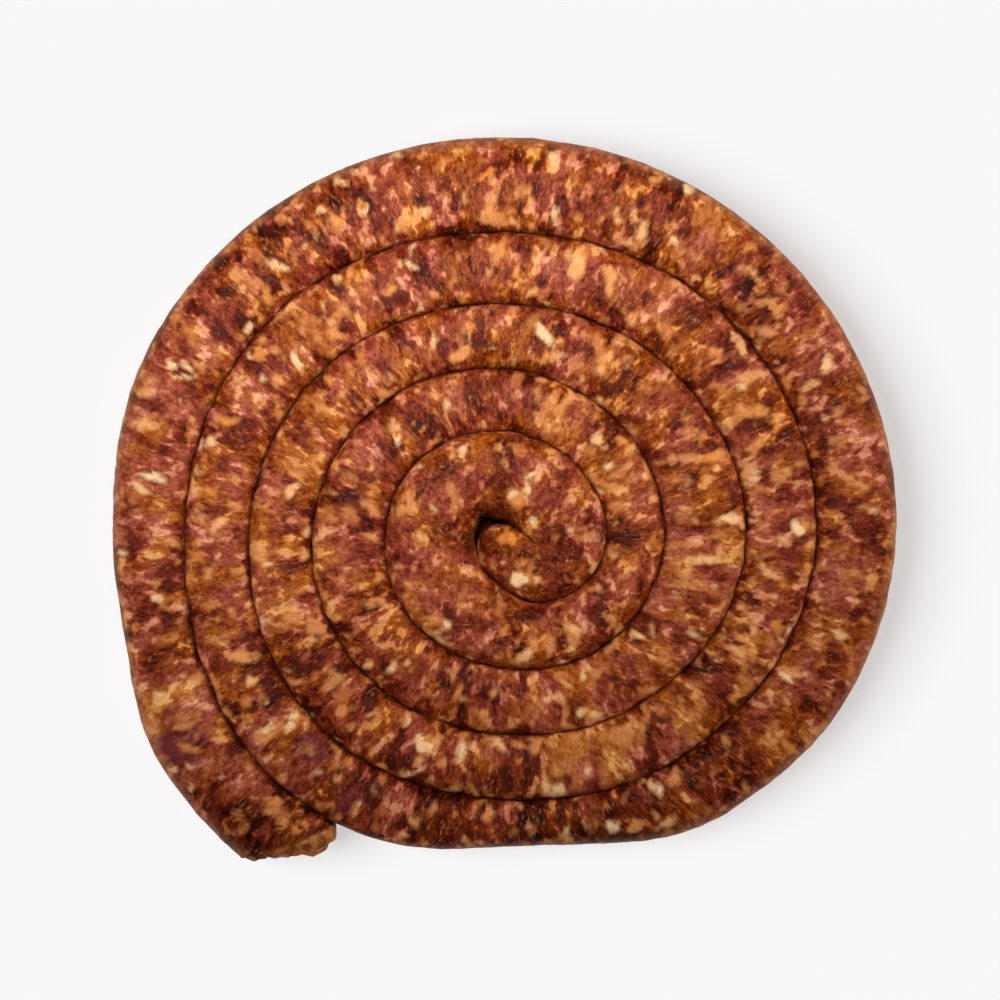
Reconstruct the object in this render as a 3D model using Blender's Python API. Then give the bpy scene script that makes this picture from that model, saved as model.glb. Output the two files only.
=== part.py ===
"""A fresh coarse sausage, one long rope wound flat into a coil and lying on a table.

The rope starts at the eye in the middle and winds anticlockwise, seen from above, to a cut end at the
rim. Angles are in degrees along the rope: 0 is the direction +X on the first full turn, and each turn
adds 360. One seam line winds between the turns. It is the rope's inner side on one turn and its outer
side on the turn before, so neighbouring turns always lie a seam's width apart.
"""

import math

import bpy
from mathutils import Vector, noise

MM = 0.001

# Seam radius from the eye, in mm, towards E, NE, N, NW, W, SW, S and SE. A row is one turn of the seam.
SEAM_RADII_MM = (
    (13.8, 9.7, 10.8, 10.2, 7.9, 9.1, 12.7, 27.5),
    (40.2, 42.6, 43.7, 43.5, 41.7, 40.9, 43.5, 52.8),
    (61.8, 64.9, 66.8, 68.8, 68.6, 67.5, 68.3, 78.5),
    (91.9, 92.8, 90.8, 92.4, 92.1, 92.8, 92.6, 103.8),
    (118.1, 120.8, 117.2, 119.4, 115.9, 118.6, 111.6, 132.8),
    (147.7, 152.5, 152.7, 150.7, 142.5, 148.6, 146.0),
)
KNOT_STEP = 45.0
FIRST_KNOT = -360.0
TURN = 360.0

# Where the free rim stands out or is drawn in between the knots: angle, half its span, depth in mm.
RIM_SWELLS = (
    (1330.0, 24.0, 2.5),
    (1366.0, 26.0, -3.3),
    (1396.0, 18.0, -1.6),
    (1597.0, 24.0, 1.7),
    (1633.0, 14.0, -1.5),
    (1650.0, 12.0, 1.2),
)

SEAM_GAP = 0.3 * MM
MEAN_WIDTH = 26.4 * MM
MEAN_HEIGHT = 24.0 * MM
HEIGHT_BY_WIDTH = 0.3  # a fuller stretch of the rope also stands a little taller
LUMP_DEPTH = 0.5 * MM
LUMP_SIZE = 14.0 * MM

# The inner end lies low in the eye. Its inner edge is a bow from the tip to the inside of the bend.
TIP_ANGLE = -540.0
BEND_ANGLE = -360.0
TIP_BOW_MM = ((-7.2, 0.6), (-4.1, 7.8), (4.3, 11.5))
TIP_HEIGHT = 0.62  # of the full height
TIP_ROUNDING = 60.0  # degrees of the rope over which the tip rounds off

# The outer end is cut askew: its outer corner lies behind its inner one.
END_ANGLE = 1319.0
END_SKEW = 9.0
END_SAG = 0.1  # of the full height
SKEW_LENGTH = 30.0
CAP_LENGTH = 7.5 * MM
CAP_LEAN = 3.1 * MM  # the cut face stands out further at its inner corner, as filling hangs out there
CAP_BLUNTNESS = 0.45
CAP_RINGS = 5
CRAG_DEPTH = 0.9 * MM
CRAG_COUNT = 3
FREE_ANGLE = END_ANGLE - TURN  # from here on nothing presses on the rope's outer side

RING_STEP = 6.0
COLUMNS = 14
WAIST = 0.48  # height of the widest level, of the full height
PRESSED_POWER = 3.5
FREE_POWER = 2.25
BASE_SINK = 1.12  # the round underside is flattened where it would sink into the table

MEAT_RED = (0.29, 0.11, 0.065, 1.0)
MEAT_ROUGHNESS = 0.42


def clear_scene():
    for obj in list(bpy.data.objects):
        bpy.data.objects.remove(obj)


def clamp(value):
    return max(0.0, min(1.0, value))


def ease(value):
    value = clamp(value)
    return value * value * (3.0 - 2.0 * value)


def polar(radius, angle):
    turn = math.radians(angle)
    return Vector((radius * math.cos(turn), radius * math.sin(turn)))


def rim_swell(angle):
    return sum(depth * MM * ease(1 - abs(angle - place) / span) for place, span, depth in RIM_SWELLS)


def seam_radius(angle):
    """Distance of the seam from the eye, on a smooth curve through the knots."""
    knots = [radius * MM for row in SEAM_RADII_MM for radius in row]
    place = (angle - FIRST_KNOT) / KNOT_STEP
    index = min(max(int(math.floor(place)), 0), len(knots) - 2)
    t = place - index
    before = knots[max(index - 1, 0)]
    start, end = knots[index], knots[index + 1]
    after = knots[min(index + 2, len(knots) - 1)]
    rise, fall = (end - before) / 2, (after - start) / 2
    return (
        (2 * t**3 - 3 * t**2 + 1) * start
        + (t**3 - 2 * t**2 + t) * rise
        + (-2 * t**3 + 3 * t**2) * end
        + (t**3 - t**2) * fall
        + rim_swell(angle)
    )


def inner_edge(angle):
    """The rope's inner side, seen from above."""
    if angle >= BEND_ANGLE:
        return polar(seam_radius(angle) + SEAM_GAP / 2, angle)
    tip, near_tip, near_bend = (Vector(point) * MM for point in TIP_BOW_MM)
    bend = inner_edge(BEND_ANGLE)
    t = clamp((angle - TIP_ANGLE) / (BEND_ANGLE - TIP_ANGLE))
    left = (1 - t) ** 3 * tip + 3 * t * (1 - t) ** 2 * near_tip
    return left + 3 * t**2 * (1 - t) * near_bend + t**3 * bend


def cut_nearness(angle):
    """0 along the rope and 1 at its outer end, rising over the last stretch."""
    return ease((angle - END_ANGLE + SKEW_LENGTH) / SKEW_LENGTH)


def outer_edge(angle):
    """The rope's outer side, seen from above. It falls behind the inner side towards the skew cut."""
    angle -= END_SKEW * cut_nearness(angle)
    return polar(seam_radius(angle + TURN) - SEAM_GAP / 2, angle)


def rope_height(angle, width):
    """Full height of the rope, which is lower at both ends and rounded off at the inner one."""
    height = MEAN_HEIGHT * max(width / MEAN_WIDTH, 0.5) ** HEIGHT_BY_WIDTH
    height *= TIP_HEIGHT + (1 - TIP_HEIGHT) * ease((angle - TIP_ANGLE) / (BEND_ANGLE - TIP_ANGLE))
    height *= 1 - END_SAG * cut_nearness(angle)
    past_tip = clamp((angle - TIP_ANGLE) / TIP_ROUNDING)
    return height * math.sqrt(1 - (1 - past_tip) ** 2)


def section_shape(column, outer_power):
    """Place across (-1 inner side to 1 outer side) and height (0 to 1) of one column of the section."""
    turn = 2 * math.pi * column / COLUMNS
    across, up = math.cos(turn), math.sin(turn)
    power = outer_power if across > 0 else PRESSED_POWER
    side = math.copysign(abs(across) ** (2 / power), across)
    rise = abs(up) ** (2 / power)
    if up >= 0:
        return side, WAIST + (1 - WAIST) * rise
    return side, max(0.0, WAIST * (1 - BASE_SINK * rise))


def lump(flat, up):
    """How far the filling sinks in here. It only ever sinks, so that turns stay clear of each other."""
    sunk = 0.5 + 0.5 * noise.noise(Vector((flat.x, flat.y, 0.0)) / LUMP_SIZE)
    return LUMP_DEPTH * sunk * clamp(up)


def rope_ring(angle):
    """The points of the rope's section at this angle."""
    inner, outer = inner_edge(angle), outer_edge(angle)
    centre, half = (inner + outer) / 2, (outer - inner) / 2
    height = rope_height(angle, 2 * half.length)
    freed = ease((angle - FREE_ANGLE) / SKEW_LENGTH)
    outer_power = PRESSED_POWER + (FREE_POWER - PRESSED_POWER) * freed
    ring = []
    for column in range(COLUMNS):
        side, up = section_shape(column, outer_power)
        flat = centre + side * half
        ring.append(Vector((flat.x, flat.y, up * height - lump(flat, up))))
    return ring


def cut_cap(last_ring):
    """Rings that close the outer end: a blunt face with crags of filling."""
    inner, outer = inner_edge(END_ANGLE), outer_edge(END_ANGLE)
    across = (outer - inner).normalized()
    ahead = Vector((-across.y, across.x, 0.0))
    centre = sum(last_ring, Vector()) / len(last_ring)
    rings = []
    for step in range(1, CAP_RINGS + 1):
        turn = math.pi / 2 * step / (CAP_RINGS + 1)
        ring = []
        for column, point in enumerate(last_ring):
            around = 2 * math.pi * column / COLUMNS
            crag = CRAG_DEPTH * math.sin(CRAG_COUNT * around + 2 * step)
            reach = CAP_LENGTH - CAP_LEAN * math.cos(around) + crag
            placed = centre + (point - centre) * math.cos(turn) ** CAP_BLUNTNESS
            placed += ahead * reach * math.sin(turn)
            ring.append(Vector((placed.x, placed.y, max(placed.z, 0.0))))
        rings.append(ring)
    return rings


def centred(rings, ends):
    """Moves the coil so that the middle of its box is over the origin."""
    points = [point for ring in rings for point in ring] + ends
    for axis in (0, 1):
        low = min(point[axis] for point in points)
        high = max(point[axis] for point in points)
        for point in points:
            point[axis] -= (low + high) / 2


def rope_mesh():
    """The whole rope as one closed skin of rings, with a fan of faces at each end."""
    steps = int(round((END_ANGLE - TIP_ANGLE) / RING_STEP))
    angles = [END_ANGLE - RING_STEP * (steps - step) for step in range(1, steps + 1)]
    angles = [TIP_ANGLE + RING_STEP / 3] + [angle for angle in angles if angle > TIP_ANGLE + RING_STEP]
    rings = [rope_ring(angle) for angle in angles]
    rings += cut_cap(rings[-1])
    ends = [sum(ring, Vector()) / len(ring) for ring in (rings[0], rings[-1])]
    centred(rings, ends)

    vertices = [point for ring in rings for point in ring] + ends
    faces = []
    for row in range(len(rings) - 1):
        for column in range(COLUMNS):
            beside = (column + 1) % COLUMNS
            low, high = row * COLUMNS, (row + 1) * COLUMNS
            faces.append((low + column, high + column, high + beside, low + beside))
    tip, cut = len(vertices) - 2, len(vertices) - 1
    last = (len(rings) - 1) * COLUMNS
    for column in range(COLUMNS):
        beside = (column + 1) % COLUMNS
        faces.append((tip, column, beside))
        faces.append((cut, last + beside, last + column))

    mesh = bpy.data.meshes.new("sausage_coil")
    mesh.from_pydata(vertices, [], faces)
    mesh.validate()
    mesh.shade_smooth()
    mesh.set_sharp_from_angle(angle=math.radians(60))
    return mesh


def meat_material():
    material = bpy.data.materials.new("sausage")
    material.use_nodes = True
    shader = material.node_tree.nodes["Principled BSDF"]
    shader.inputs["Base Color"].default_value = MEAT_RED
    shader.inputs["Roughness"].default_value = MEAT_ROUGHNESS
    shader.inputs["Metallic"].default_value = 0.0
    return material


def main():
    clear_scene()
    mesh = rope_mesh()
    mesh.materials.append(meat_material())
    coil = bpy.data.objects.new("sausage_coil", mesh)
    bpy.context.scene.collection.objects.link(coil)


main()
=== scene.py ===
"""Looks of a fresh coarse sausage, one long rope wound flat into a coil.

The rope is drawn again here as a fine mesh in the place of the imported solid. It follows the same seam
line, and it adds the chunks of fat that press against the skin, the lumps of the filling and the ragged
cut end. Lengths are in metres, or in millimetres where a name ends in _MM. Angles are in degrees along
the rope: -360 to 0 is the first turn round the eye, from +X back to +X, and each further turn adds 360.
"""

import math

import bpy
import numpy as np
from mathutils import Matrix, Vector, noise


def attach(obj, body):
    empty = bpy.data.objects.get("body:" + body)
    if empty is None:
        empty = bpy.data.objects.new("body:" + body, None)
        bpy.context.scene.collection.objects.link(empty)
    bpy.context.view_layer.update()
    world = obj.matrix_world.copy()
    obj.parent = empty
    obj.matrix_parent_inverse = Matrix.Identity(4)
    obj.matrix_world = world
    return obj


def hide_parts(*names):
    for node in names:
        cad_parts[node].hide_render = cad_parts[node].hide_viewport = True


MM = 0.001

# Seam radius from the eye, in mm, towards E, NE, N, NW, W, SW, S and SE. A row is one turn of the seam.
SEAM_RADII_MM = (
    (13.8, 9.7, 10.8, 10.2, 7.9, 9.1, 12.7, 27.5),
    (40.2, 42.6, 43.7, 43.5, 41.7, 40.9, 43.5, 52.8),
    (61.8, 64.9, 66.8, 68.8, 68.6, 67.5, 68.3, 78.5),
    (91.9, 92.8, 90.8, 92.4, 92.1, 92.8, 92.6, 103.8),
    (118.1, 120.8, 117.2, 119.4, 115.9, 118.6, 111.6, 132.8),
    (147.7, 152.5, 152.7, 150.7, 142.5, 148.6, 146.0),
)
KNOT_STEP = 45.0
FIRST_KNOT = -360.0
TURN = 360.0
QUARTER_TURN = 90.0

# The notch in the eye, and where the free rim stands out or is drawn in between the knots: angle, half
# its span, change of radius in mm.
RIM_SWELLS_MM = (
    (-246.0, 24.0, 1.9),
    (1330.0, 24.0, 2.5),
    (1366.0, 26.0, -3.3),
    (1396.0, 18.0, -1.6),
    (1597.0, 24.0, 1.7),
    (1633.0, 14.0, -1.5),
    (1650.0, 12.0, 1.2),
)

# The seam and the size of the rope.
SEAM_GAP = -0.3 * MM  # soft turns press into each other, so no light comes up through the seam
SEAM_WAVER = 0.55 * MM
WAVER_LENGTH = 9.0 * MM
RIM_CALM = 0.6  # the free rim wavers less than the seam
MEAN_WIDTH = 26.4 * MM
MEAN_HEIGHT = 24.0 * MM
HEIGHT_BY_WIDTH = 0.3  # the power by which a wider stretch is higher
LEAST_WIDTH = 0.5  # of the mean width: a narrower stretch isn't made lower for its width
LUMP_DEPTH = 0.5 * MM
LUMP_SIZE = 14.0 * MM

# The inner end. Its inner side is a curve from the tip to the bend, by way of two handles.
TIP_ANGLE = -540.0
BEND_ANGLE = -360.0
TIP_BOW_MM = ((-7.2, 0.6), (-8.6, 10.4), (8.5, 14.5))
TIP_HEIGHT = 0.62
TIP_ROUNDING = 60.0
EYE_ANGLES = (-350.0, -170.0)  # here the rope's inner side is free, where it looks into the eye
EYE_EASE = 40.0

# The outer end, which is cut askew.
END_ANGLE = 1319.0
FREE_ANGLE = END_ANGLE - TURN  # from here on no further turn lies outside the rope
END_SKEW = 9.0
END_SAG = 0.1
SKEW_LENGTH = 30.0
CAP_LENGTH = 6.2 * MM
CAP_LEAN = 3.1 * MM
CAP_BLUNTNESS = 0.45
CAP_OPEN_HEIGHT = 6.0 * MM  # the fat on the cut face shows fully from here up
CRAG_DEPTH = 0.7 * MM
CRAG_COUNT = 3
CRAG_TURN = math.radians(7.5)
CRUMB_DEPTH = 1.1 * MM
CRUMB_SIZE = 3.2 * MM

# The section, from its inner side at -1 to its outer side at 1 and from its base at 0 to its top at 1.
WAIST = 0.48
PRESSED_POWER = 3.5
FREE_POWER = 2.25
BASE_SINK = 1.12
PRESSED_EDGE = 0.12  # the fat fades away over this much of the half width, beside the next turn
OPEN_HEIGHT = 0.3  # the fat shows fully from here up

# Where the skin or the cut face looks different, and where sheen and shade are painted on.
RIM_START = 0.65  # painted sheen: the skin of the free rim is pale and dull from here outwards
RIM_FOOT = 7.0 * MM  # and from here up
RIM_RISE = 6.0 * MM
RIM_LEAST = 0.3  # how much painted sheen it has below
DEEP_START = 0.72  # the side that looks into the eye gets painted shade from here inwards
FACE_TURN = math.radians(35.0)  # the cap bends this far before it is all cut face
TAN_FOOT = 8.0 * MM  # the cut face is tanned from here up
TAN_RISE = 8.0 * MM
TAN_LEAST_BELOW = 0.25  # how tanned it is at its foot
TAN_LEAST_OUTSIDE = 0.2  # and at the rope's outer side

# The fine mesh.
RINGS = 1640
CAP_RINGS = 16
COLUMNS = 58
TOP_SHARE = 1.5  # columns lie this much closer on the top than on the base
FIRST_RING = TIP_ANGLE + 1.0  # at the tip itself a ring would have no size
RING_SAMPLES = 20001
COLUMN_SAMPLES = 8001
STRIPS = 5  # of the bake map
STRIP_MARGIN = 0.004
TINY = 1e-12

# Chunks of fat under the skin.
CHUNK_SEED = 11
CHUNK_COUNT = 3000
CHUNK_SIZE_MM = (0.9, 2.1)
CHUNK_VARIETY = (0.7, 1.3)
CHUNK_STRETCH = (1.0, 2.4)  # across the rope, of the size along it
CHUNK_TILT = 0.45
CHUNK_SHIFT = 0.7 * MM
CHUNK_OVAL = 0.2
CHUNK_LOBES = 0.13
FAT_REACH = 2.5 * MM
LEAST_SPACING = 0.1 * MM
WIDEST_WINDOW = 120  # rings on each side that one chunk can mark
CHUNK_BULGE = 0.2 * MM
BULGE_START_MM = -0.6  # the skin rises from here outside a chunk to its full bulge inside
BULGE_SPAN_MM = 1.4

# The boldest chunks: place from the eye, half sizes along and across the rope, all in mm, and the tint.
BOLD_CHUNKS_MM = (
    (9.0, -10.4, 3.9, 3.6, 1.0),
    (3.6, 4.2, 3.5, 3.2, 0.65),
    (-2.2, 123.1, 4.0, 5.0, 0.45),
    (20.5, 144.3, 1.9, 4.0, 0.9),
    (29.8, 105.3, 3.6, 6.0, 0.8),
    (42.0, 97.5, 2.5, 5.2, 0.75),
    (110.5, 7.8, 3.2, 3.0, 1.0),
    (-13.8, 71.4, 4.2, 2.8, 0.5),
    (45.4, -68.5, 4.2, 5.6, 0.3),
    (-27.5, -72.2, 3.8, 3.8, 0.95),
    (-126.1, 27.2, 2.2, 4.6, 1.0),
    (76.6, -4.1, 2.2, 6.4, 0.85),
    (-67.0, -29.0, 3.6, 3.6, 0.4),
    (103.8, 26.0, 3.0, 3.0, 0.35),
    (-87.8, -1.9, 2.6, 4.8, 0.5),
)
BOLD_TILT = 0.2
UPWARD = 0.2  # a bold chunk lies where the skin faces up at least this much
OUT_OF_REACH = 10.0  # added to the distance of skin that faces elsewhere

# The boldest lean patches: place from the eye and radius, in mm.
BOLD_LEAN_MM = (
    (-116.0, -71.5, 12.0),
    (-68.5, -73.0, 7.5),
    (-54.5, -92.0, 7.5),
)

# Where the rope is made paler or darker along its length: angle, half its span, change of tone. On the outer
# turn at the south this is partly darker filling and partly painted shade.
TONE_AND_SHADE_STRETCHES = (
    (1322.0, 28.0, -0.18),
    (1288.0, 22.0, 0.05),
    (1245.0, 36.0, 0.07),
    (1200.0, 26.0, -0.09),
    (1165.0, 22.0, 0.05),
    # the outer turn at the south: partly darker filling, partly painted shade
    (1000.0, 60.0, -0.2),
    (885.0, 45.0, 0.03),
    (720.0, 36.0, 0.07),
    (660.0, 32.0, 0.08),
    (525.0, 45.0, 0.05),
    (360.0, 36.0, 0.07),
    (300.0, 32.0, 0.07),
    (-540.0, 60.0, -0.04),
)

# The tucked-in end of the skin that closes the eye. Its dark brown colour is painted shade.
EYE_PLUG_MM = (-2.5, 5.5)  # from the eye's middle
PLUG_SIZE = (10.0 * MM, 10.5 * MM, 7.0 * MM)
PLUG_FOOT = 0.4 * MM  # its flat base lies just above the rope's
PLUG_SEGMENTS = 32
PLUG_RINGS = 16
PLUG_ROUGHNESS = 0.1
PLUG_WRINKLES = 2.5
PLUG_EDGE = math.radians(60.0)

# Filling from its darkest to its palest bits, in its purplish and in its orange parts: tone, colour on
# screen.
PURPLE_FILLING = (
    (0.08, (42, 6, 2)),
    (0.20, (82, 20, 2)),
    (0.32, (117, 41, 20)),
    (0.42, (144, 61, 40)),
    (0.52, (168, 85, 61)),
    (0.68, (206, 125, 92)),
    (0.95, (246, 180, 142)),
)
ORANGE_FILLING = (
    (0.08, (42, 7, 0)),
    (0.20, (82, 22, 0)),
    (0.32, (118, 46, 3)),
    (0.42, (147, 67, 13)),
    (0.52, (173, 92, 28)),
    (0.68, (214, 138, 68)),
    (0.95, (249, 190, 118)),
)

# Fat from its dullest to its brightest chunks: tint, colour on screen.
FAT_TINTS = (
    (0.00, (192, 108, 58)),
    (0.30, (210, 130, 74)),
    (0.50, (226, 148, 90)),
    (0.65, (218, 130, 58)),
    (0.85, (240, 172, 114)),
    (1.00, (251, 206, 154)),
)
LEAN_PURPLE = (88, 30, 21)
BOLD_LEAN_PURPLE = (98, 31, 40)
FIBRE_PEACH = (222, 156, 108)
# painted sheen: pale tan, as light shows through the skin on the free rim
RIM_SHEEN_TAN = (176, 116, 72)
CUT_TAN = (216, 130, 62)
# painted shade: dark brown for the shaded side of the eye and for the tucked skin in it
EYE_SHADE_BROWN = (48, 17, 7)

# Where the noise patterns of the filling are read.
ACROSS_SQUEEZE = (1.0, 0.6, 0.6)  # makes the grain of the filling longer across the rope
WOUND_SQUEEZE = (0.8, 0.8, 0.8)
STREAK_SQUEEZE = (1.5, 0.8, 0.8)
HUE_SHIFT = (0.3, 0.1, 0.2)  # so that the hue doesn't follow the other patterns
RAGGED_REACH = 24.0 * MM
PUSH_REACH = (2.0 * MM, 2.0 * MM, 2.0 * MM)
MID_COLOUR = (0.5, 0.5, 0.5)

# Sizes of the noise patterns.
BROAD_SIZE = 22.0 * MM
HUE_SIZE = 11.0 * MM
BLOTCH_SIZE = 8.0 * MM
RAGGED_SIZE = 6.0 * MM
MINCE_SIZE = 4.5 * MM
MARBLE_SIZE = 4.2 * MM
PUSH_SIZE = 3.5 * MM
GRAIN_SIZE = 1.7 * MM
STREAK_SIZE = 1.4 * MM
FINE_SIZE = 0.7 * MM
PLAIN = 1.0  # detail of a pattern that has hardly any finer noise in it
RICH = 2.0
HUE_ROUGHNESS = 0.45

# What makes the filling paler or darker: the middle tone, the swing of each pattern and other changes.
MIDDLE_TONE = 0.404
GRAIN_SWING = 0.47
FINE_SWING = 0.25
MARBLE_SWING = 0.5
BLOTCH_SWING = -0.4
BROAD_SWING = 0.4
LEAN_TONE = -0.1
PALE_TONE = 0.21
SPECK_TONE = -0.1
CUT_TONE = 0.03

# What makes it more orange.
TIP_STAIN = 0.12
CUT_STAIN = 0.06
LEAN_STAIN = -0.05

# How far the patterns swing the edges of lean patches and of fat, and the fat's own brightness.
PATCH_MARBLE = 1.2
PATCH_GRAIN = 0.4
FAT_MARBLE = 2.0
FAT_GRAIN = 1.2
MOTTLE_GRAIN = 0.7
MOTTLE_FINE = 0.4

# How much of the filling is covered: by the dullest fat, by a brighter tint as well, and by the painted
# shade in the eye.
FAT_COVER = 0.6
TINT_COVER = 0.35
EYE_SHADE = 0.9

# Ranges of a pattern or mark: where it starts and ends and, unless they are 0 and 1, its values there.
LEAN_RANGE = (0.5, 0.62)
PALE_RANGE = (0.55, 0.66)
SPECK_RANGE = (0.25, 0.31, 1.0, 0.0)
STAIN_RANGE = (-1.8, 0.0, 0.0, 0.1)
TIP_RANGE = (0.0, 18.0 * MM, 1.0, 0.0)
ORANGE_RANGE = (0.4, 0.66)
LEAN_COLOUR_RANGE = (0.6, 0.68, 0.0, 0.4)
PATCH_RIM_RANGE = (0.0, 0.2)
PATCH_RANGE = (0.1, 0.5, 0.0, 0.75)
FIBRE_RANGE = (0.58, 0.76)
FIBRE_HUE_RANGE = (0.44, 0.58, 0.15, 0.3)
FAT_RANGE = (-0.8, 1.2)
INSIDE_RANGE = (0.0, 2.0, 0.86, 1.06)
RIM_SHEEN_RANGE = (0.42, 0.6, 0.25, 0.6)
MINCE_RANGE = (0.38, 0.57, 0.2, 0.85)
ROUGHNESS_RANGE = (0.3, 0.7, 0.6, 0.4)

# The surface.
SKIN_SPECULAR = 0.06
FAT_RELIEF = 0.05  # of the grain's own relief, for each mm of depth inside a chunk
BUMP_DEPTH = 0.6 * MM
BUMP_STRENGTH = 0.5
PLUG_GLOSS = (0.8, 0.02)  # roughness and specular level

# The camera.
VIEW_PIXELS = 1000
MM_PER_PIXEL = 0.372
EYE_PIXEL = (497, 549)
LENS = 100.0
SENSOR = 36.0

# The white ground and the light.
FLOOR_SIDE = 24.0
FLOOR_PLACE = (0, 0, -0.0002)
FLOOR_COLOUR = (0.45, 0.45, 0.45, 1.0)
FLOOR_GLOSS = (0.9, 0.0)
FLOOR_GLOW = (1.0, 0.977, 0.962, 1.0)
FLOOR_GLOW_STRENGTH = 0.572
MIDDLE = (0.0, 0.0, 0.0)
WHITE = (1.0, 1.0, 1.0, 1.0)
WORLD_STRENGTH = 0.12


def ease(value):
    value = np.clip(value, 0.0, 1.0)
    return value * value * (3.0 - 2.0 * value)


def grow(least, share):
    """From this least value up to 1, as the share goes from 0 to 1."""
    return least + (1 - least) * ease(share)


def sum_of_stretches(rows, angle):
    """The changes at this angle, where a row holds an angle, half its span and the change there."""
    return sum(change * ease(1 - abs(angle - place) / span) for place, span, change in rows)


def polar(radius, angle):
    turn = np.radians(angle)
    return np.stack([radius * np.cos(turn), radius * np.sin(turn)], axis=-1)


def unit(vectors):
    return vectors / np.maximum(np.linalg.norm(vectors, axis=-1, keepdims=True), TINY)


def noise_at(points, size):
    return np.array([noise.noise(Vector(point) / size) for point in points])


def on_ground(flat):
    """The same places with a height of zero."""
    return np.concatenate([flat, np.zeros(flat.shape[:-1] + (1,))], axis=-1)


def seam_radius(angle):
    """Distance of the seam from the eye, on a smooth curve through the knots that wavers a little."""
    knots = np.array([radius for row in SEAM_RADII_MM for radius in row]) * MM
    place = (angle - FIRST_KNOT) / KNOT_STEP
    index = np.clip(np.floor(place).astype(int), 0, len(knots) - 2)
    t = place - index
    before = knots[np.maximum(index - 1, 0)]
    start, end = knots[index], knots[index + 1]
    after = knots[np.minimum(index + 2, len(knots) - 1)]
    rise, fall = (end - before) / 2, (after - start) / 2
    radius = (
        (2 * t**3 - 3 * t**2 + 1) * start
        + (t**3 - 2 * t**2 + t) * rise
        + (-2 * t**3 + 3 * t**2) * end
        + (t**3 - t**2) * fall
        + sum_of_stretches(RIM_SWELLS_MM, angle) * MM
    )
    waver = SEAM_WAVER * (1 - RIM_CALM * ease((angle - END_ANGLE) / SKEW_LENGTH))
    return radius + waver * noise_at(on_ground(polar(radius, angle)), WAVER_LENGTH)


def inner_edge(angle):
    """The rope's inner side, seen from above."""
    wound = polar(seam_radius(angle) + SEAM_GAP / 2, angle)
    tip, near_tip, near_bend = np.array(TIP_BOW_MM) * MM
    bend = polar(seam_radius(np.array([BEND_ANGLE])) + SEAM_GAP / 2, BEND_ANGLE)[0]
    t = np.clip((angle - TIP_ANGLE) / (BEND_ANGLE - TIP_ANGLE), 0, 1)[:, None]
    left = (1 - t) ** 3 * tip + 3 * t * (1 - t) ** 2 * near_tip
    bow = left + 3 * t**2 * (1 - t) * near_bend + t**3 * bend
    return np.where((angle >= BEND_ANGLE)[:, None], wound, bow)


def cut_nearness(angle):
    """0 along the rope and 1 at its outer end, rising over the last stretch."""
    return ease((angle - END_ANGLE + SKEW_LENGTH) / SKEW_LENGTH)


def eye_nearness(angle):
    """1 where the rope's inner side looks into the eye, and 0 elsewhere."""
    start, end = EYE_ANGLES
    return ease((angle - start) / EYE_EASE) * ease((end - angle) / EYE_EASE)


def outer_edge(angle):
    """The rope's outer side, seen from above. It falls behind the inner side towards the skew cut."""
    angle = angle - END_SKEW * cut_nearness(angle)
    return polar(seam_radius(angle + TURN) - SEAM_GAP / 2, angle)


def rope_height(angle, width):
    """Full height of the rope, which is lower at both ends and rounded off at the inner one."""
    height = MEAN_HEIGHT * np.maximum(width / MEAN_WIDTH, LEAST_WIDTH) ** HEIGHT_BY_WIDTH
    height = height * grow(TIP_HEIGHT, (angle - TIP_ANGLE) / (BEND_ANGLE - TIP_ANGLE))
    height = height * (1 - END_SAG * cut_nearness(angle))
    past_tip = np.clip((angle - TIP_ANGLE) / TIP_ROUNDING, 0, 1)
    return height * np.sqrt(1 - (1 - past_tip) ** 2)


def section_power(freed):
    """The power of the section's curve, which makes a side rounder the more it is freed."""
    return PRESSED_POWER + (FREE_POWER - PRESSED_POWER) * freed


def section_shape(turns, inner_power, outer_power):
    """Place across (-1 inner side to 1 outer side) and height (0 to 1) for each ring and column."""
    across, up = np.cos(turns)[None, :], np.sin(turns)[None, :]
    power = np.where(across > 0, outer_power[:, None], inner_power[:, None])
    side = np.sign(across) * np.abs(across) ** (2 / power)
    rise = np.abs(up) ** (2 / power)
    above = WAIST + (1 - WAIST) * rise
    below = np.maximum(0.0, WAIST * (1 - BASE_SINK * rise))
    return side, np.where(up >= 0, above, below)


def column_turns():
    """Angles round the section that space the columns evenly, from the middle of the base."""
    turns = np.linspace(-math.pi / 2, 1.5 * math.pi, COLUMN_SAMPLES)
    pressed = np.array([PRESSED_POWER])
    side, up = section_shape(turns, pressed, pressed)
    steps = np.hypot(np.diff(side[0]) * MEAN_WIDTH / 2, np.diff(up[0]) * MEAN_HEIGHT)
    steps *= np.where(up[0][1:] > WAIST / 2, TOP_SHARE, 1.0)
    walked = np.concatenate([[0], np.cumsum(steps)])
    return np.interp(np.arange(COLUMNS) / COLUMNS * walked[-1], walked, turns)


def ring_angles():
    """Angles that space the rings evenly along the rope, and each ring's distance from the tip."""
    fine = np.linspace(FIRST_RING, END_ANGLE, RING_SAMPLES)
    inner, outer = inner_edge(fine), outer_edge(fine)
    middle = np.linalg.norm(np.diff((inner + outer) / 2, axis=0), axis=1)
    rim = np.linalg.norm(np.diff(outer, axis=0), axis=1)
    walked = np.concatenate([[0], np.cumsum((middle + rim) / 2)])
    distance = np.concatenate([[0], np.cumsum(middle)])
    angles = np.interp(np.linspace(0, walked[-1], RINGS), walked, fine)
    return angles, np.interp(angles, fine, distance)


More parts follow.
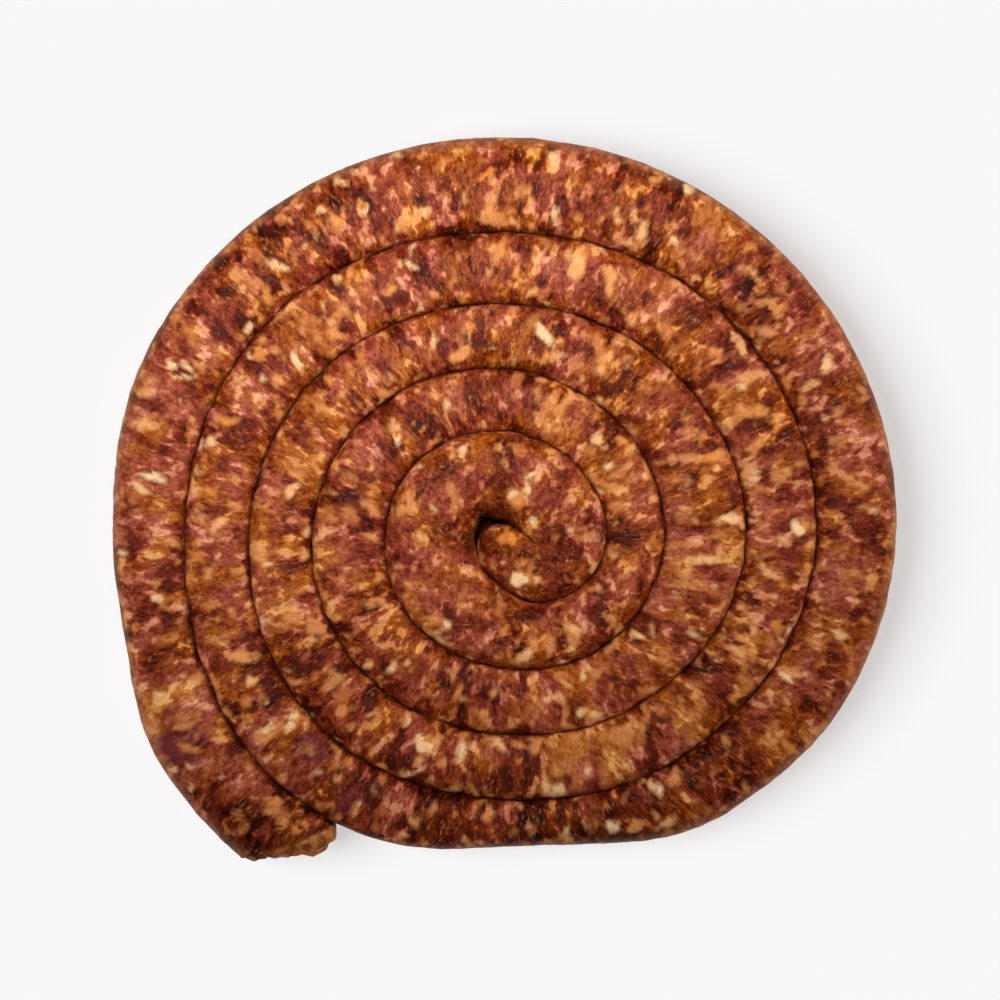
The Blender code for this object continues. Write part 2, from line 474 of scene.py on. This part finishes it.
class Rope:
    """The rope's fine skin, as a grid of rings and columns. Beside its place, each point has the place that
    it would have on the straight rope and the marks that the material reads.
    """

    def __init__(self):
        self.turns = column_turns()
        self.angles, self.distance = ring_angles()
        self.lay_rings()
        self.close_cut()
        self.find_directions()
        self.lay_chunks()
        self.lay_lean()
        self.swell()
        flat = self.points[..., :2].reshape(-1, 2)
        self.shift = -(flat.min(axis=0) + flat.max(axis=0)) / 2
        self.points[..., :2] += self.shift

    def lay_rings(self):
        inner, outer = inner_edge(self.angles), outer_edge(self.angles)
        centre, half = (inner + outer) / 2, (outer - inner) / 2
        height = rope_height(self.angles, 2 * np.linalg.norm(half, axis=1))
        freed = ease((self.angles - FREE_ANGLE) / SKEW_LENGTH)
        facing_eye = eye_nearness(self.angles)
        side, up = section_shape(self.turns, section_power(facing_eye), section_power(freed))
        flat = centre[:, None, :] + side[..., None] * half[:, None, :]
        lumps = 0.5 + 0.5 * noise_at(on_ground(flat).reshape(-1, 3), LUMP_SIZE).reshape(up.shape)
        rise = up * height[:, None] - LUMP_DEPTH * lumps * np.clip(up, 0, 1)
        self.points = np.concatenate([flat, rise[..., None]], axis=-1)
        outward = polar(1.0, self.angles)
        forward = polar(1.0, self.angles + QUARTER_TURN)
        along = self.distance[:, None] + side * (half * forward).sum(axis=1)[:, None]
        across = side * (half * outward).sum(axis=1)[:, None]
        self.straight = np.stack([along, across, rise], axis=-1)
        self.mark_rings(side, up, rise, freed[:, None], facing_eye[:, None])

    def mark_rings(self, side, up, rise, freed, facing_eye):
        pressed = np.where(side > 0, 1 - freed, 1.0)
        room = np.clip((1 - np.abs(side)) / PRESSED_EDGE, 0, 1)
        towards_rim = np.where(side > 0, side * freed, 0)
        near_rim = ease((towards_rim - RIM_START) / (1 - RIM_START))
        # tone along the rope, with painted shade on the outer turn at the south
        tone_and_shade = sum_of_stretches(TONE_AND_SHADE_STRETCHES, self.angles)
        self.marks = {
            "open": np.clip(up / OPEN_HEIGHT, 0, 1) * (1 - pressed * (1 - room)),
            # painted sheen on the free rim
            "rim": near_rim * grow(RIM_LEAST, (rise - RIM_FOOT) / RIM_RISE),
            # painted shade on the side that looks into the eye
            "painted_eye_shade": facing_eye * ease((-side - DEEP_START) / (1 - DEEP_START)),
            "tone_and_shade": np.repeat(tone_and_shade[:, None], COLUMNS, axis=1),
            "cut": np.zeros(side.shape),
            "face": np.zeros(side.shape),
        }

    def close_cut(self):
        """Adds the blunt, craggy face at the outer end."""
        last, last_straight = self.points[-1], self.straight[-1]
        end = np.array([END_ANGLE])
        across = unit(outer_edge(end)[0] - inner_edge(end)[0])
        ahead = np.array([-across[1], across[0], 0.0])
        centre = last.mean(axis=0)
        turns = math.pi / 2 * np.arange(1, CAP_RINGS + 1) / (CAP_RINGS + 1)
        rings, straight = [], []
        for turn in turns:
            crag = CRAG_DEPTH * np.sin(CRAG_COUNT * self.turns + turn / CRAG_TURN)
            reach = (CAP_LENGTH - CAP_LEAN * np.cos(self.turns) + crag) * math.sin(turn)
            shrink = math.cos(turn) ** CAP_BLUNTNESS
            ring = centre + (last - centre) * shrink + ahead * reach[:, None]
            crumbs = CRUMB_DEPTH * noise_at(ring, CRUMB_SIZE) * math.sin(turn)
            ring += ahead * crumbs[:, None]
            ring[:, 2] = np.maximum(ring[:, 2], 0.0)
            rings.append(ring)
            along, across_rope = last_straight[:, 0] + reach, last_straight[:, 1] * shrink
            straight.append(np.stack([along, across_rope, ring[:, 2]], axis=-1))
        self.points = np.concatenate([self.points, rings])
        self.straight = np.concatenate([self.straight, straight])
        self.mark_cut(turns, np.array(rings)[..., 2])

    def mark_cut(self, turns, heights):
        face = np.repeat(ease(turns / FACE_TURN)[:, None], COLUMNS, axis=1)
        towards_inner_side = grow(TAN_LEAST_OUTSIDE, 0.5 - 0.5 * np.cos(self.turns))
        towards_top = grow(TAN_LEAST_BELOW, (heights - TAN_FOOT) / TAN_RISE)
        marks = {
            "open": np.clip(heights / CAP_OPEN_HEIGHT, 0, 1),
            "rim": np.zeros(face.shape),
            "painted_eye_shade": np.zeros(face.shape),
            "tone_and_shade": np.repeat(self.marks["tone_and_shade"][-1:], CAP_RINGS, axis=0),
            "cut": face * towards_inner_side * towards_top,
            "face": face,
        }
        for name, grid in marks.items():
            self.marks[name] = np.concatenate([self.marks[name], grid])

    def find_directions(self):
        """The way along the rope and out of it at each point, and the area that each point stands for."""
        self.ahead = np.gradient(self.points, axis=0)
        aside = (np.roll(self.points, -1, axis=1) - np.roll(self.points, 1, axis=1)) / 2
        normal = np.cross(aside, self.ahead)
        self.area = np.linalg.norm(normal, axis=-1)
        outward = self.points - self.points.mean(axis=1, keepdims=True)
        self.normal = unit(normal) * np.sign((normal * outward).sum())

    def lay_chunks(self):
        """How far inside a chunk of fat each point lies (negative outside), and that chunk's tint."""
        self.fat = np.full(self.points.shape[:2], -FAT_REACH)
        self.tint = np.zeros(self.points.shape[:2])
        self.scatter_chunks()
        self.place_bold_chunks()
        self.marks["fat"] = self.fat / MM
        self.marks["tint"] = self.tint

    def scatter_chunks(self):
        draw = np.random.default_rng(CHUNK_SEED)
        spots = draw.choice(self.area.size, CHUNK_COUNT, p=(self.area / self.area.sum()).ravel())
        for spot in spots:
            row, column = divmod(spot, COLUMNS)
            size = draw.uniform(*CHUNK_SIZE_MM) * draw.uniform(*CHUNK_VARIETY) * MM
            long_size = size * draw.uniform(*CHUNK_STRETCH)
            tilt = draw.normal(0, CHUNK_TILT)
            wave, bend = draw.uniform(0, 2 * math.pi, 2)
            off_grid = draw.uniform(-CHUNK_SHIFT, CHUNK_SHIFT, 2)
            self.add_chunk(row, column, off_grid, size, long_size, tilt, wave, bend, draw.uniform())

    def place_bold_chunks(self):
        turned_away = OUT_OF_REACH * (self.normal[..., 2] < UPWARD)
        for index, (x, y, size, long_size, tint) in enumerate(BOLD_CHUNKS_MM):
            place = np.array([x, y]) * MM
            gap = np.linalg.norm(self.points[..., :2] - place, axis=-1) + turned_away
            row, column = divmod(int(gap.argmin()), COLUMNS)
            tilt = BOLD_TILT * (-1) ** index
            self.add_chunk(row, column, (0, 0), size * MM, long_size * MM, tilt, index, 3 * index, tint)

    def add_chunk(self, row, column, off_grid, size, long_size, tilt, wave, bend, tint):
        """Marks the points inside one chunk. Only this stretch of the rope can hold it."""
        reach = max(size, long_size) + FAT_REACH
        spacing = max(np.linalg.norm(self.ahead[row, column]), LEAST_SPACING)
        window = min(int(reach / spacing) + 2, WIDEST_WINDOW)
        low, high = max(row - window, 0), min(row + window + 1, len(self.points))
        out = self.normal[row, column]
        along = unit(self.ahead[row, column])
        across = np.cross(out, along)
        offset = self.points[low:high] - self.points[row, column]
        ahead = offset @ along - off_grid[0]
        aside = offset @ across - off_grid[1]
        x = ahead * math.cos(tilt) - aside * math.sin(tilt)
        y = ahead * math.sin(tilt) + aside * math.cos(tilt)
        around = np.arctan2(y / long_size, x / size)
        outline = 1 + CHUNK_OVAL * np.sin(2 * around + wave) + CHUNK_LOBES * np.sin(3 * around + bend)
        distance = np.sqrt((x / size) ** 2 + (y / long_size) ** 2 + (offset @ out / size) ** 2)
        inside = (outline - distance) * size
        better = inside > self.fat[low:high]
        self.fat[low:high] = np.where(better, inside, self.fat[low:high])
        self.tint[low:high] = np.where(better, tint, self.tint[low:high])

    def lay_lean(self):
        """Marks the bold lean patches: 1 in the middle of each, down to 0 at its rim."""
        lean = np.zeros(self.points.shape[:2])
        for x, y, radius in BOLD_LEAN_MM:
            gap = np.linalg.norm(self.points[..., :2] / MM - (x, y), axis=-1)
            lean = np.maximum(lean, 1 - gap / radius)
        self.marks["lean"] = lean

    def swell(self):
        """Raises the skin over the fat, where nothing presses on it."""
        share = ease((self.marks["fat"] - BULGE_START_MM) / BULGE_SPAN_MM)
        bulge = CHUNK_BULGE * share * self.marks["open"]
        self.points = self.points + self.normal * bulge[..., None]
        self.points[..., 2] = np.maximum(self.points[..., 2], 0.0)


def strip_map(rows, row, column, ahead):
    """Place on the bake map: the rope is cut into strips of equal length, one above the other."""
    per_strip = math.ceil(rows / STRIPS)
    strip = row // per_strip
    u = (row - strip * per_strip + ahead) / per_strip
    v = column / COLUMNS
    u = STRIP_MARGIN + u * (1 - 2 * STRIP_MARGIN)
    margin = STRIP_MARGIN * STRIPS
    return np.stack([u, (strip + margin + v * (1 - 2 * margin)) / STRIPS], axis=-1)


def quad_places(rows):
    """Row and column of each quad of the skin."""
    row, column = np.meshgrid(np.arange(rows - 1), np.arange(COLUMNS), indexing="ij")
    return row.ravel(), column.ravel()


def bake_map(rows):
    """Corners of all faces on the bake map: the quads ring by ring, the tip's fan and the cut's fan."""
    row, column = quad_places(rows)
    total = rows + 1
    quad_corners = ((0, 0), (0, 1), (1, 1), (1, 0))
    quads = [strip_map(total, row + 1, column + beside, ahead) for beside, ahead in quad_corners]
    around = np.arange(COLUMNS)
    start, end = np.zeros(COLUMNS, int), np.full(COLUMNS, rows)
    tip = [strip_map(total, start, around + beside, ahead) for beside, ahead in ((0.5, 0), (0, 1), (1, 1))]
    cut = [strip_map(total, end, around + beside, ahead) for beside, ahead in ((0.5, 1), (1, 0), (0, 0))]
    return np.concatenate([np.stack(corners, axis=1).reshape(-1, 2) for corners in (quads, tip, cut)])


def rope_faces(rows):
    row, column = quad_places(rows)
    beside = (column + 1) % COLUMNS
    low, high = row * COLUMNS, (row + 1) * COLUMNS
    quads = np.stack([low + column, high + column, high + beside, low + beside], axis=1)
    around = np.arange(COLUMNS)
    after = (around + 1) % COLUMNS
    tip, cut, last = rows * COLUMNS, rows * COLUMNS + 1, (rows - 1) * COLUMNS
    tip_fan = np.stack([np.full(COLUMNS, tip), around, after], axis=1)
    cut_fan = np.stack([np.full(COLUMNS, cut), last + after, last + around], axis=1)
    return quads.tolist() + tip_fan.tolist() + cut_fan.tolist()


def with_ends(grid):
    """Values of all vertices: the grid's, and the mean of the first and the last ring for the two fans."""
    flat = grid.reshape((-1,) + grid.shape[2:])
    ends = np.stack([grid[0].mean(axis=0), grid[-1].mean(axis=0)])
    return np.concatenate([flat, ends]).astype(np.float32)


def add_values(mesh, name, grid):
    mesh.attributes.new(name, "FLOAT", "POINT").data.foreach_set("value", with_ends(grid))


def add_vectors(mesh, name, grid):
    mesh.attributes.new(name, "FLOAT_VECTOR", "POINT").data.foreach_set("vector", with_ends(grid).ravel())


def rope_mesh(rope):
    rows = len(rope.points)
    mesh = bpy.data.meshes.new("sausage_skin")
    mesh.from_pydata(with_ends(rope.points).tolist(), [], rope_faces(rows))
    mesh.shade_smooth()
    layer = mesh.uv_layers.new(name="OFBake")
    layer.data.foreach_set("uv", bake_map(rows).astype(np.float32).ravel())
    add_vectors(mesh, "straight", rope.straight)
    # With x and y swapped, the pale and the lean bits of the first turn lie about where they should.
    add_vectors(mesh, "wound", rope.points[..., [1, 0, 2]])
    for name, grid in rope.marks.items():
        add_values(mesh, name, grid)
    return mesh


def rgba(colour):
    """A colour as seen on screen, from 0 to 255, made linear."""
    def linear(value):
        value /= 255
        return value / 12.92 if value <= 0.04045 else ((value + 0.055) / 1.055) ** 2.4
    return tuple(linear(value) for value in colour) + (1.0,)


class Shader:
    """Adds nodes to a material. A value given for a socket is either a number, a tuple or another socket."""

    def __init__(self, name):
        self.material = bpy.data.materials.new(name)
        self.material.use_nodes = True
        self.tree = self.material.node_tree
        self.principled = self.tree.nodes["Principled BSDF"]

    def put(self, socket, value):
        if isinstance(value, bpy.types.NodeSocket):
            self.tree.links.new(value, socket)
        else:
            socket.default_value = value

    def node(self, kind, inputs, output=0, **settings):
        made = self.tree.nodes.new(kind)
        for name, value in settings.items():
            setattr(made, name, value)
        for name, value in inputs.items():
            self.put(made.inputs[name], value)
        return made.outputs[output]

    def mark(self, name):
        return self.node("ShaderNodeAttribute", {}, "Fac", attribute_name=name)

    def place(self, name):
        return self.node("ShaderNodeAttribute", {}, "Vector", attribute_name=name)

    def x_of(self, place):
        return self.node("ShaderNodeSeparateXYZ", {0: place})

    def math(self, operation, first, second=0.0, third=0.0):
        return self.node("ShaderNodeMath", {0: first, 1: second, 2: third}, operation=operation)

    def times(self, first, second):
        return self.math("MULTIPLY", first, second)

    def sum(self, *terms):
        total = terms[0]
        for term in terms[1:]:
            total = self.math("ADD", total, term)
        return total

    def swing(self, value, reach):
        """A noise value about 0.5, made to swing by this reach about 0."""
        return self.math("MULTIPLY_ADD", value, reach, -reach / 2)

    def vector(self, operation, first, second):
        return self.node("ShaderNodeVectorMath", {0: first, 1: second}, operation=operation)

    def spread(self, value, low, high, to_low=0.0, to_high=1.0):
        inputs = {"Value": value, "From Min": low, "From Max": high, "To Min": to_low, "To Max": to_high}
        return self.node("ShaderNodeMapRange", inputs, interpolation_type="SMOOTHSTEP")

    def noise(self, place, size, detail=RICH, roughness=0.5, output="Fac"):
        inputs = {"Vector": place, "Scale": 1 / size, "Detail": detail, "Roughness": roughness}
        return self.node("ShaderNodeTexNoise", inputs, output)

    def mix(self, share, first, second, blend="MIX"):
        inputs = {0: share, 6: first, 7: second}
        return self.node("ShaderNodeMix", inputs, 2, data_type="RGBA", blend_type=blend)

    def mix_vectors(self, share, first, second):
        return self.node("ShaderNodeMix", {0: share, 4: first, 5: second}, 1, data_type="VECTOR")

    def grey(self, value):
        return self.node("ShaderNodeCombineColor", {0: value, 1: value, 2: value})

    def ramp(self, value, stops):
        made = self.tree.nodes.new("ShaderNodeValToRGB")
        while len(made.color_ramp.elements) < len(stops):
            made.color_ramp.elements.new(0.5)
        for element, (place, colour) in zip(made.color_ramp.elements, stops):
            element.position = place
            element.color = rgba(colour)
        self.put(made.inputs["Fac"], value)
        return made.outputs["Color"]


class Filling(Shader):
    """The rope's material: the marbled filling with its fat, the painted sheen on the skin of the rim, the
    cut and the painted shade in the eye.
    """

    def __init__(self, rope):
        super().__init__("sausage_filling")
        self.cut = self.mark("cut")
        self.fat = self.mark("fat")
        self.read_patterns(float(np.interp(0.0, rope.angles, rope.distance)))
        colour = self.marbled()
        colour = self.add_bold_lean(colour)
        colour = self.add_fibres(colour)
        colour = self.add_fat(colour)
        colour = self.add_edges(colour)
        self.set_surface(colour)

    def grain_place(self, first_turn_end):
        """Where the filling's pattern is read: along the straight rope, but as it lies in the tight first
        turn and on the cut face.
        """
        straight = self.vector("MULTIPLY", self.place("straight"), ACROSS_SQUEEZE)
        wound = self.vector("MULTIPLY", self.place("wound"), WOUND_SQUEEZE)
        ragged = self.swing(self.noise(wound, RAGGED_SIZE, PLAIN), RAGGED_REACH)
        beyond = self.math("GREATER_THAN", self.sum(self.x_of(straight), ragged), first_turn_end)
        before_cut = self.math("LESS_THAN", self.mark("face"), 0.5)
        return self.mix_vectors(self.times(beyond, before_cut), wound, straight)

    def read_patterns(self, first_turn_end):
        even = self.grain_place(first_turn_end)
        push = self.vector("SUBTRACT", self.noise(even, PUSH_SIZE, PLAIN, output="Color"), MID_COLOUR)
        uneven = self.vector("ADD", even, self.vector("MULTIPLY", push, PUSH_REACH))
        self.blotch = self.noise(uneven, BLOTCH_SIZE)
        self.marble = self.noise(uneven, MARBLE_SIZE)
        self.grain = self.noise(uneven, GRAIN_SIZE)
        self.fine = self.noise(even, FINE_SIZE, PLAIN)
        self.broad = self.noise(even, BROAD_SIZE, PLAIN)
        self.hue = self.noise(self.vector("ADD", uneven, HUE_SHIFT), HUE_SIZE, RICH, HUE_ROUGHNESS)
        self.streak = self.noise(self.vector("MULTIPLY", uneven, STREAK_SQUEEZE), STREAK_SIZE, PLAIN)
        self.mince = self.noise(self.place("wound"), MINCE_SIZE)
        self.lean = self.spread(self.blotch, *LEAN_RANGE)

    def tone(self):
        """How pale the filling is, from 0 to 1, with painted shade on the outer turn at the south."""
        return self.sum(
            self.mark("tone_and_shade"),
            self.swing(self.grain, GRAIN_SWING),
            self.swing(self.fine, FINE_SWING),
            self.swing(self.marble, MARBLE_SWING),
            self.swing(self.blotch, BLOTCH_SWING),
            self.swing(self.broad, BROAD_SWING),
            self.math("MULTIPLY_ADD", self.lean, LEAN_TONE, MIDDLE_TONE),
            self.times(self.spread(self.marble, *PALE_RANGE), PALE_TONE),
            self.times(self.spread(self.fine, *SPECK_RANGE), SPECK_TONE),
            self.times(self.cut, CUT_TONE),
        )

    def orangeness(self):
        """Share of the orange parts, which is larger beside fat, at the tip and on the cut."""
        tip = self.spread(self.x_of(self.place("straight")), *TIP_RANGE)
        stained = self.sum(
            self.hue,
            self.spread(self.fat, *STAIN_RANGE),
            self.times(tip, TIP_STAIN),
            self.times(self.cut, CUT_STAIN),
            self.times(self.lean, LEAN_STAIN),
        )
        return self.spread(stained, *ORANGE_RANGE)

    def marbled(self):
        tone = self.tone()
        purple = self.ramp(tone, PURPLE_FILLING)
        orange = self.ramp(tone, ORANGE_FILLING)
        filling = self.mix(self.orangeness(), purple, orange)
        return self.mix(self.spread(self.blotch, *LEAN_COLOUR_RANGE), filling, rgba(LEAN_PURPLE))

    def add_bold_lean(self, colour):
        lean = self.mark("lean")
        ragged = self.sum(lean, self.swing(self.marble, PATCH_MARBLE), self.swing(self.grain, PATCH_GRAIN))
        patch = self.times(self.spread(lean, *PATCH_RIM_RANGE), self.spread(ragged, *PATCH_RANGE))
        return self.mix(patch, colour, rgba(BOLD_LEAN_PURPLE))

    def add_fibres(self, colour):
        fibres = self.times(self.spread(self.streak, *FIBRE_RANGE), self.spread(self.hue, *FIBRE_HUE_RANGE))
        return self.mix(fibres, colour, rgba(FIBRE_PEACH))

    def add_fat(self, colour):
        tint = self.mark("tint")
        ragged = self.sum(self.fat, self.swing(self.marble, FAT_MARBLE), self.swing(self.grain, FAT_GRAIN))
        share = self.times(self.spread(ragged, *FAT_RANGE), self.mark("open"))
        mottle = self.sum(
            self.swing(self.grain, MOTTLE_GRAIN),
            self.swing(self.fine, MOTTLE_FINE),
            self.spread(self.fat, *INSIDE_RANGE),
        )
        fat = self.mix(1.0, self.ramp(tint, FAT_TINTS), self.grey(mottle), "MULTIPLY")
        opacity = self.math("MULTIPLY_ADD", tint, TINT_COVER, FAT_COVER)
        return self.mix(self.times(share, opacity), colour, fat)

    def add_edges(self, colour):
        """The painted sheen on the skin of the free rim, the raw cut face and the painted shade on the side
        of the eye.
        """
        # painted sheen on the skin of the free rim
        rim_sheen = self.times(self.mark("rim"), self.spread(self.marble, *RIM_SHEEN_RANGE))
        raw = self.times(self.cut, self.spread(self.mince, *MINCE_RANGE))
        # painted shade on the side of the eye
        shaded = self.times(self.mark("painted_eye_shade"), EYE_SHADE)
        for share, shown in ((rim_sheen, RIM_SHEEN_TAN), (raw, CUT_TAN), (shaded, EYE_SHADE_BROWN)):
            colour = self.mix(share, colour, rgba(shown))
        return colour

    def set_surface(self, colour):
        sockets = self.principled.inputs
        height = self.sum(self.grain, self.times(self.fat, FAT_RELIEF))
        relief = {"Height": height, "Distance": BUMP_DEPTH, "Strength": BUMP_STRENGTH}
        self.put(sockets["Base Color"], colour)
        self.put(sockets["Roughness"], self.spread(self.fine, *ROUGHNESS_RANGE))
        self.put(sockets["Specular IOR Level"], SKIN_SPECULAR)
        self.put(sockets["Normal"], self.node("ShaderNodeBump", relief))


def plain_shader(name, colour, gloss):
    """A surface of one colour. Its gloss is its roughness and its specular level."""
    shader = Shader(name)
    shader.principled.inputs["Base Color"].default_value = colour
    shader.principled.inputs["Roughness"].default_value = gloss[0]
    shader.principled.inputs["Specular IOR Level"].default_value = gloss[1]
    return shader


def add_piece(name, mesh, material):
    mesh.materials.append(material)
    piece = bpy.data.objects.new(name, mesh)
    bpy.context.scene.collection.objects.link(piece)
    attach(piece, "root")
    return piece


def make_sausage(rope):
    sausage = add_piece("sausage_skin", rope_mesh(rope), Filling(rope).material)
    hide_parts("sausage_coil")
    return sausage


def make_eye_plug(rope):
    """The end of the skin, tucked in under the tip, which closes the eye low down. Its dark brown is painted
    shade.
    """
    bpy.ops.mesh.primitive_uv_sphere_add(segments=PLUG_SEGMENTS, ring_count=PLUG_RINGS, radius=1.0)
    ball = bpy.context.object
    mesh = ball.data
    bpy.data.objects.remove(ball)
    middle = rope.shift + np.array(EYE_PLUG_MM) * MM
    width, depth, height = PLUG_SIZE
    for vertex in mesh.vertices:
        x, y, z = vertex.co
        rough = 1 + PLUG_ROUGHNESS * noise.noise(Vector((x, y, z)) * PLUG_WRINKLES)
        flat = middle + rough * np.array([x * width, y * depth])
        vertex.co = (flat[0], flat[1], max(z * height * rough, PLUG_FOOT))
    mesh.shade_smooth()
    mesh.set_sharp_from_angle(angle=PLUG_EDGE)
    # dark brown: painted shade in the eye
    return add_piece("tucked_skin_painted_shade", mesh, plain_shader("tucked_skin_painted_shade", rgba(EYE_SHADE_BROWN), PLUG_GLOSS).material)


def make_floor():
    bpy.ops.mesh.primitive_plane_add(size=FLOOR_SIDE, location=FLOOR_PLACE)
    floor = bpy.context.object
    floor.name = "floor"
    shader = plain_shader("floor_white", FLOOR_COLOUR, FLOOR_GLOSS)
    shader.principled.inputs["Emission Color"].default_value = FLOOR_GLOW
    shader.principled.inputs["Emission Strength"].default_value = FLOOR_GLOW_STRENGTH
    floor.data.materials.append(shader.material)
    return floor


def make_camera(rope):
    """A camera straight above the coil, with the eye of the coil where the photograph has it."""
    eye = rope.shift
    frame = VIEW_PIXELS * MM_PER_PIXEL * MM
    middle = VIEW_PIXELS / 2
    x = eye[0] + (middle - EYE_PIXEL[0]) * MM_PER_PIXEL * MM
    y = eye[1] - (middle - EYE_PIXEL[1]) * MM_PER_PIXEL * MM
    data = bpy.data.cameras.new("camera")
    data.lens = LENS
    data.sensor_width = SENSOR
    camera = bpy.data.objects.new("camera", data)
    camera.location = (x, y, frame * LENS / SENSOR + WAIST * MEAN_HEIGHT)
    bpy.context.scene.collection.objects.link(camera)
    bpy.context.scene.camera = camera


def place_light(data, location, aim, lit):
    """Puts a light in the scene, turned to its aim. It shines only on the objects that are named as lit."""
    light = bpy.data.objects.new(data.name, data)
    light.location = location
    light.rotation_euler = (Vector(aim) - Vector(location)).to_track_quat("-Z", "Y").to_euler()
    light.visible_camera = False
    receivers = bpy.data.collections.new(data.name + "_receivers")
    for obj in lit:
        receivers.objects.link(obj)
    light.light_linking.receiver_collection = receivers
    bpy.context.scene.collection.objects.link(light)


def area_light(name, size, power, spread=180.0):
    """A round window of this width in metres and this power in watts, with its beam's spread in degrees."""
    data = bpy.data.lights.new(name, "AREA")
    data.shape = "DISK"
    data.size = size
    data.energy = power
    data.spread = math.radians(spread)
    return data


def sun_light(name, strength, angle, colour):
    """A far light of this strength in watts per square metre, as wide as this angle in degrees."""
    data = bpy.data.lights.new(name, "SUN")
    data.energy = strength
    data.angle = math.radians(angle)
    data.color = colour
    return data


def make_lights(sausage_pieces, floor):
    top_window = area_light("top_window", size=0.2, power=0.52, spread=64.0)
    right_window = area_light("right_window", size=0.3, power=1.6)
    left_window = area_light("left_window", size=0.3, power=0.8)
    floor_light = sun_light("floor_light", strength=3.29, angle=45.0, colour=(0.9, 0.95, 1.0))
    place_light(top_window, (-0.05, 0.16, 0.62), (-0.045, 0.12, 0.0), sausage_pieces)
    place_light(right_window, (0.55, 0.2, 0.35), MIDDLE, sausage_pieces)
    place_light(left_window, (-0.6, 0.0, 0.35), MIDDLE, sausage_pieces)
    place_light(floor_light, (-0.7, -0.03, 0.75), MIDDLE, [floor])


def make_world():
    world = bpy.data.worlds.new("studio")
    world.use_nodes = True
    world.node_tree.nodes["Background"].inputs["Color"].default_value = WHITE
    world.node_tree.nodes["Background"].inputs["Strength"].default_value = WORLD_STRENGTH
    bpy.context.scene.world = world
    bpy.context.scene.view_settings.view_transform = "Standard"
    bpy.context.scene.view_settings.look = "None"


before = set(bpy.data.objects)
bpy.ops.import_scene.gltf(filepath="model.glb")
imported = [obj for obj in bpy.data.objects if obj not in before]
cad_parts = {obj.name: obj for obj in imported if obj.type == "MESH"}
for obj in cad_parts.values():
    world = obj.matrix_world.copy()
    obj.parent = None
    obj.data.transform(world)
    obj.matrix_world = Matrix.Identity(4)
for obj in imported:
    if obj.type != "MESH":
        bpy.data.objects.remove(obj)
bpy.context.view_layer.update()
ROPE = Rope()
PIECES = [make_sausage(ROPE), make_eye_plug(ROPE)]
make_lights(PIECES, make_floor())
make_world()
make_camera(ROPE)
